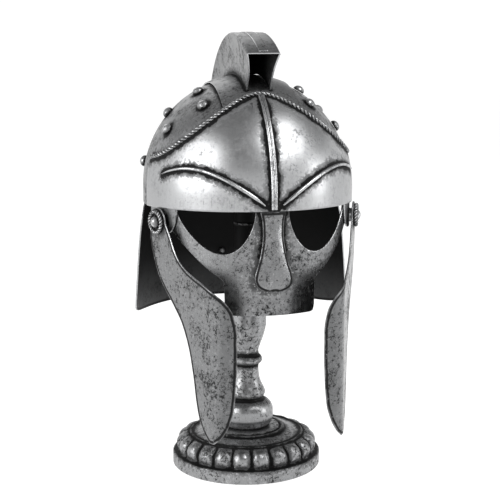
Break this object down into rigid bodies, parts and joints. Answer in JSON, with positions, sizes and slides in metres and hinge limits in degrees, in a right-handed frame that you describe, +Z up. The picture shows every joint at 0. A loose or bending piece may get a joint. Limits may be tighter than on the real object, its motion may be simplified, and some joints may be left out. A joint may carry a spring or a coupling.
{
  "type": "gladiator helmet on a display stand",
  "caption": "Domed metal gladiator helmet with crest, visor, nasal, swinging cheek guards and neck guard, set on a turned stand with a gadrooned foot.",
  "frame": {"origin": "middle of the stand's flat underside", "axes": "+Z up, the helmet faces -Y, the wearer's left is +X"},
  "size_m": [0.222, 0.2697, 0.4414],
  "materials": {
    "skull_sheet": "antiqued sheet steel, dark patina in the recesses",
    "crest_sheet": "antiqued sheet steel, dark patina inside",
    "brow_sheet": "antiqued sheet steel, rubbed bright",
    "face_sheet": "antiqued sheet steel, speckled",
    "guard_sheet": "antiqued sheet steel, bright rolled edges",
    "trim": "steel trim, dark in its hollows",
    "fastener": "round steel heads",
    "stand_cast": "antiqued cast metal"
  },
  "bodies": {
    "helmet_on_stand": {"skull": "skull_sheet", "crest_saddle": "skull_sheet", "neck_guard": "skull_sheet", "crest": "crest_sheet", "brow_plate": "brow_sheet", "face_plate": "face_sheet", "nasal": "face_sheet", "centre_rib": "trim", "brow_rib_left": "trim", "brow_rib_right": "trim", "brow_rope": "trim", "hinge_boss_left": "trim", "hinge_boss_right": "trim", "stud_left_1": "fastener", "stud_left_2": "fastener", "stud_left_3": "fastener", "stud_left_4": "fastener", "stud_left_5": "fastener", "stud_right_1": "fastener", "stud_right_2": "fastener", "stud_right_3": "fastener", "stud_right_4": "fastener", "stud_right_5": "fastener", "neck_rivet_left": "fastener", "neck_rivet_back": "fastener", "neck_rivet_right": "fastener", "nape_rivet": "fastener", "stand_base": "stand_cast", "stand_column": "stand_cast", "stand_post": "stand_cast", "head_rest": "stand_cast"},
    "cheek_guard_left": {"cheek_guard_left": "guard_sheet", "hinge_ring_left": "trim"},
    "cheek_guard_right": {"cheek_guard_right": "guard_sheet", "hinge_ring_right": "trim"}
  },
  "joints": [
    {"name": "cheek_guard_left_hinge", "type": "hinge", "parent": "helmet_on_stand", "child": "cheek_guard_left", "pos_m": [0.09373, -0.04748, 0.26278], "axis": [-0.9253, 0.3793, 0], "range_deg": [0, 35]},
    {"name": "cheek_guard_right_hinge", "type": "hinge", "parent": "helmet_on_stand", "child": "cheek_guard_right", "pos_m": [-0.09373, -0.04748, 0.26278], "axis": [-0.9253, -0.3793, 0], "range_deg": [0, 35]}
  ]
}
